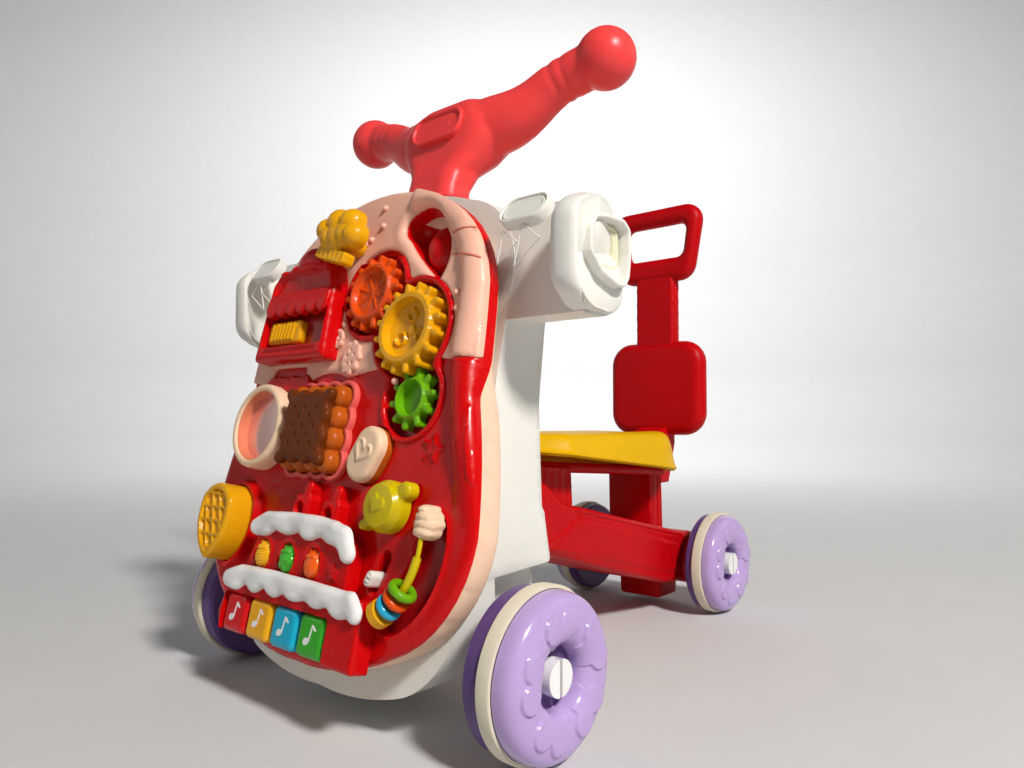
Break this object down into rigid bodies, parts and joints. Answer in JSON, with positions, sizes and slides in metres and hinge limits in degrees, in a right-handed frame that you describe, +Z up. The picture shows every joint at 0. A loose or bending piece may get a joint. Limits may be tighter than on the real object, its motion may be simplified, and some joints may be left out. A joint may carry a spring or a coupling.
{
  "type": "baby walker",
  "caption": "Push-along baby walker and ride-on with a tilted activity panel, low saddle, ball-ended handlebar, side arms and a rear push handle, on wheels.",
  "frame": {"origin": "middle of the walker in plan, on the floor", "axes": "+Z up, -Y the way the toy panel faces, +X to the right of someone looking at the panel"},
  "size_m": [0.416, 0.5692, 0.537],
  "materials": {
    "white": "satin moulded",
    "cream": "satin moulded",
    "red": "gloss moulded",
    "pink": "satin moulded",
    "coral": "satin moulded",
    "yellow": "gloss moulded",
    "orange": "gloss moulded",
    "green": "gloss moulded",
    "lime": "gloss moulded",
    "brown": "satin moulded",
    "blue": "gloss moulded",
    "ivory": "satin moulded",
    "icing": "gloss moulded",
    "lilac": "gloss moulded",
    "purple": "satin moulded",
    "tread": "matt",
    "clear_yellow": "translucent moulded",
    "clear_green": "translucent moulded",
    "clear_orange": "translucent moulded",
    "mirror": "reflective film",
    "steel": "bright drawn"
  },
  "bodies": {
    "front": {"body_shell": "white", "rear_cover": "white", "battery_door": "white", "body_screws": "steel", "panel_tray": "cream", "panel_base": "red", "panel_fascia": "pink", "oven_body": "red", "mirror_ring": "ivory", "mirror": "mirror", "biscuit_base": "coral", "ring_rail": "lime", "rail_top": "ivory", "cake_body": "red", "cake_icing": "icing", "side_arm_right": "white", "side_arm_left": "white", "arm_end_right": "white", "arm_end_left": "white", "handlebar": "coral", "front_axle": "steel", "steering_pin": "steel"},
    "rear": {"chassis": "red", "seat": "yellow", "backrest": "red", "rear_axle": "steel"},
    "wheel_front_right": {"wheel_front_right": "purple", "tyre_front_right": "tread", "wheel_cover_front_right": "lilac"},
    "wheel_front_left": {"wheel_front_left": "purple", "tyre_front_left": "tread", "wheel_cover_front_left": "lilac"},
    "wheel_rear_right": {"wheel_rear_right": "purple", "tyre_rear_right": "tread", "wheel_cover_rear_right": "lilac"},
    "wheel_rear_left": {"wheel_rear_left": "purple", "tyre_rear_left": "tread", "wheel_cover_rear_left": "lilac"},
    "gear_yellow": {"gear_yellow": "yellow"},
    "gear_orange": {"gear_orange": "orange"},
    "gear_green": {"gear_green": "green"},
    "oven_slider": {"oven_slider": "yellow"},
    "chef_hat": {"chef_hat": "yellow"},
    "biscuit_button": {"biscuit_button": "brown"},
    "popsicle_button": {"popsicle_button": "ivory"},
    "pot_knob": {"pot_knob": "lime"},
    "waffle_button": {"waffle_button": "yellow"},
    "ring_green": {"ring_green": "green"},
    "ring_orange": {"ring_orange": "orange"},
    "ring_blue": {"ring_blue": "blue"},
    "power_switch": {"power_switch": "white"},
    "fruit_button_1": {"fruit_button_1": "clear_yellow"},
    "fruit_button_2": {"fruit_button_2": "clear_green"},
    "fruit_button_3": {"fruit_button_3": "clear_orange"},
    "piano_key_1": {"piano_key_1": "red"},
    "piano_key_2": {"piano_key_2": "yellow"},
    "piano_key_3": {"piano_key_3": "blue"},
    "piano_key_4": {"piano_key_4": "green"},
    "release_button_right": {"release_button_right": "white"},
    "release_button_left": {"release_button_left": "white"}
  },
  "joints": [
    {"name": "steering", "type": "hinge", "parent": "front", "child": "rear", "pos_m": [0, -0.1044, 0.13], "axis": [0, 0, 1], "range_deg": [-20, 20]},
    {"name": "wheel_front_right_spin", "type": "hinge", "parent": "front", "child": "wheel_front_right", "pos_m": [0, -0.2024, 0.056], "axis": [1, 0, 0], "continuous": true},
    {"name": "wheel_front_left_spin", "type": "hinge", "parent": "front", "child": "wheel_front_left", "pos_m": [0, -0.2024, 0.056], "axis": [1, 0, 0], "continuous": true},
    {"name": "wheel_rear_right_spin", "type": "hinge", "parent": "rear", "child": "wheel_rear_right", "pos_m": [0, 0.2286, 0.056], "axis": [1, 0, 0], "continuous": true},
    {"name": "wheel_rear_left_spin", "type": "hinge", "parent": "rear", "child": "wheel_rear_left", "pos_m": [0, 0.2286, 0.056], "axis": [1, 0, 0], "continuous": true},
    {"name": "gear_yellow_spin", "type": "hinge", "parent": "front", "child": "gear_yellow", "pos_m": [0.068, -0.21865, 0.28215], "axis": [0, -0.9763, 0.2164], "continuous": true},
    {"name": "gear_orange_spin", "type": "hinge", "parent": "front", "child": "gear_orange", "pos_m": [0.01791, -0.2115, 0.31439], "axis": [0, -0.9763, 0.2164], "continuous": true},
    {"name": "gear_green_spin", "type": "hinge", "parent": "front", "child": "gear_green", "pos_m": [0.07819, -0.22969, 0.23237], "axis": [0, -0.9763, 0.2164], "continuous": true},
    {"name": "oven_slide", "type": "slide", "parent": "front", "child": "oven_slider", "axis": [1, 0, 0], "range_m": [0, 0.032]},
    {"name": "chef_hat_swivel", "type": "hinge", "parent": "front", "child": "chef_hat", "pos_m": [-0.014, -0.21956, 0.36122], "axis": [0, -0.9763, 0.2164], "range_deg": [-30, 30]},
    {"name": "biscuit_push", "type": "slide", "parent": "front", "child": "biscuit_button", "axis": [0, 0.9763, -0.2164], "range_m": [0, 0.003], "stiffness_N_per_m": 300, "springref_m": -0.003},
    {"name": "popsicle_push", "type": "slide", "parent": "front", "child": "popsicle_button", "axis": [0, 0.9763, -0.2164], "range_m": [0, 0.003], "stiffness_N_per_m": 300, "springref_m": -0.003},
    {"name": "pot_knob_turn", "type": "hinge", "parent": "front", "child": "pot_knob", "pos_m": [0.08, -0.25123, 0.15827], "axis": [0, -0.9763, 0.2164], "range_deg": [-45, 45]},
    {"name": "waffle_push", "type": "slide", "parent": "front", "child": "waffle_button", "axis": [0, 0.9763, -0.2164], "range_m": [0, 0.004], "stiffness_N_per_m": 300, "springref_m": -0.003},
    {"name": "ring_green_slide", "type": "hinge", "parent": "front", "child": "ring_green", "pos_m": [0.0686, -0.26083, 0.13806], "axis": [0, -0.9763, 0.2164], "range_deg": [0, 26]},
    {"name": "ring_orange_slide", "type": "hinge", "parent": "front", "child": "ring_orange", "pos_m": [0.0686, -0.26083, 0.13806], "axis": [0, -0.9763, 0.2164], "range_deg": [0, 23.4]},
    {"name": "ring_blue_slide", "type": "hinge", "parent": "front", "child": "ring_blue", "pos_m": [0.0686, -0.26083, 0.13806], "axis": [0, -0.9763, 0.2164], "range_deg": [0, 20.8]},
    {"name": "power_switch_slide", "type": "slide", "parent": "front", "child": "power_switch", "axis": [0.3746, 0.2007, 0.9052], "range_m": [0, 0.012]},
    {"name": "fruit_1_push", "type": "slide", "parent": "front", "child": "fruit_button_1", "axis": [0, 0.9763, -0.2164], "range_m": [0, 0.002], "stiffness_N_per_m": 300, "springref_m": -0.003},
    {"name": "fruit_2_push", "type": "slide", "parent": "front", "child": "fruit_button_2", "axis": [0, 0.9763, -0.2164], "range_m": [0, 0.002], "stiffness_N_per_m": 300, "springref_m": -0.003},
    {"name": "fruit_3_push", "type": "slide", "parent": "front", "child": "fruit_button_3", "axis": [0, 0.9763, -0.2164], "range_m": [0, 0.002], "stiffness_N_per_m": 300, "springref_m": -0.003},
    {"name": "key_1_press", "type": "hinge", "parent": "front", "child": "piano_key_1", "pos_m": [-0.0665, -0.27309, 0.08045], "axis": [1, 0, 0], "range_deg": [0, 4], "stiffness_Nm_per_rad": 0.05, "springref_deg": -5.73},
    {"name": "key_2_press", "type": "hinge", "parent": "front", "child": "piano_key_2", "pos_m": [-0.0335, -0.27309, 0.08045], "axis": [1, 0, 0], "range_deg": [0, 4], "stiffness_Nm_per_rad": 0.05, "springref_deg": -5.73},
    {"name": "key_3_press", "type": "hinge", "parent": "front", "child": "piano_key_3", "pos_m": [-0.0005, -0.27309, 0.08045], "axis": [1, 0, 0], "range_deg": [0, 4], "stiffness_Nm_per_rad": 0.05, "springref_deg": -5.73},
    {"name": "key_4_press", "type": "hinge", "parent": "front", "child": "piano_key_4", "pos_m": [0.0325, -0.27309, 0.08045], "axis": [1, 0, 0], "range_deg": [0, 4], "stiffness_Nm_per_rad": 0.05, "springref_deg": -5.73},
    {"name": "release_right_push", "type": "slide", "parent": "front", "child": "release_button_right", "axis": [0, 0.8192, -0.5736], "range_m": [0, 0.003], "stiffness_N_per_m": 300, "springref_m": -0.003},
    {"name": "release_left_push", "type": "slide", "parent": "front", "child": "release_button_left", "axis": [0, 0.8192, -0.5736], "range_m": [0, 0.003], "stiffness_N_per_m": 300, "springref_m": -0.003}
  ],
  "couplings": [
    {"joint": "gear_orange_spin", "follows": "gear_yellow_spin", "ratio": -1.1429},
    {"joint": "gear_green_spin", "follows": "gear_yellow_spin", "ratio": -1.6},
    {"joint": "ring_orange_slide", "follows": "ring_green_slide", "ratio": 0.9},
    {"joint": "ring_blue_slide", "follows": "ring_green_slide", "ratio": 0.8}
  ]
}
